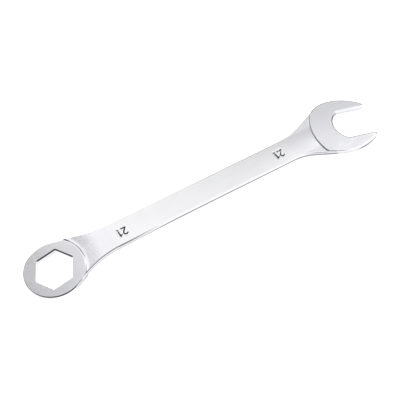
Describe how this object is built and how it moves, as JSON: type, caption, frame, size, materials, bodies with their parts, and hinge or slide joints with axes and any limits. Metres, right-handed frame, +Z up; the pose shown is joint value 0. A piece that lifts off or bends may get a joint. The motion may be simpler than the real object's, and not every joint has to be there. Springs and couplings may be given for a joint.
{
  "type": "combination wrench",
  "caption": "Slim one-piece combination wrench: a tilted six-point ring at one end and an angled open jaw at the other, on a flat bar.",
  "frame": {"origin": "centre of the bounding box in X and Y, on the table in Z", "axes": "+X from the ring to the open jaw, +Z up, with the wrench lying on its lower side, resting on the ring's far rim and the prong tips"},
  "size_m": [0.2334, 0.0394, 0.0119],
  "materials": {
    "ring_plating": "satin chrome plate, faces finely ground",
    "neck_plating": "satin chrome plate over a forged, tumbled surface",
    "shank_plating": "satin chrome plate, lightly brushed along the bar",
    "head_plating": "satin chrome plate, faces finely ground",
    "stamp_infill": "dark residue in the bottom of the stamped digits"
  },
  "bodies": {
    "root": {"ring_head": "ring_plating", "ring_neck": "neck_plating", "shank": "shank_plating", "open_neck": "neck_plating", "open_head": "head_plating", "ring_end_digit_2": "stamp_infill", "ring_end_digit_1": "stamp_infill", "jaw_end_digit_2": "stamp_infill", "jaw_end_digit_1": "stamp_infill"}
  },
  "joints": []
}
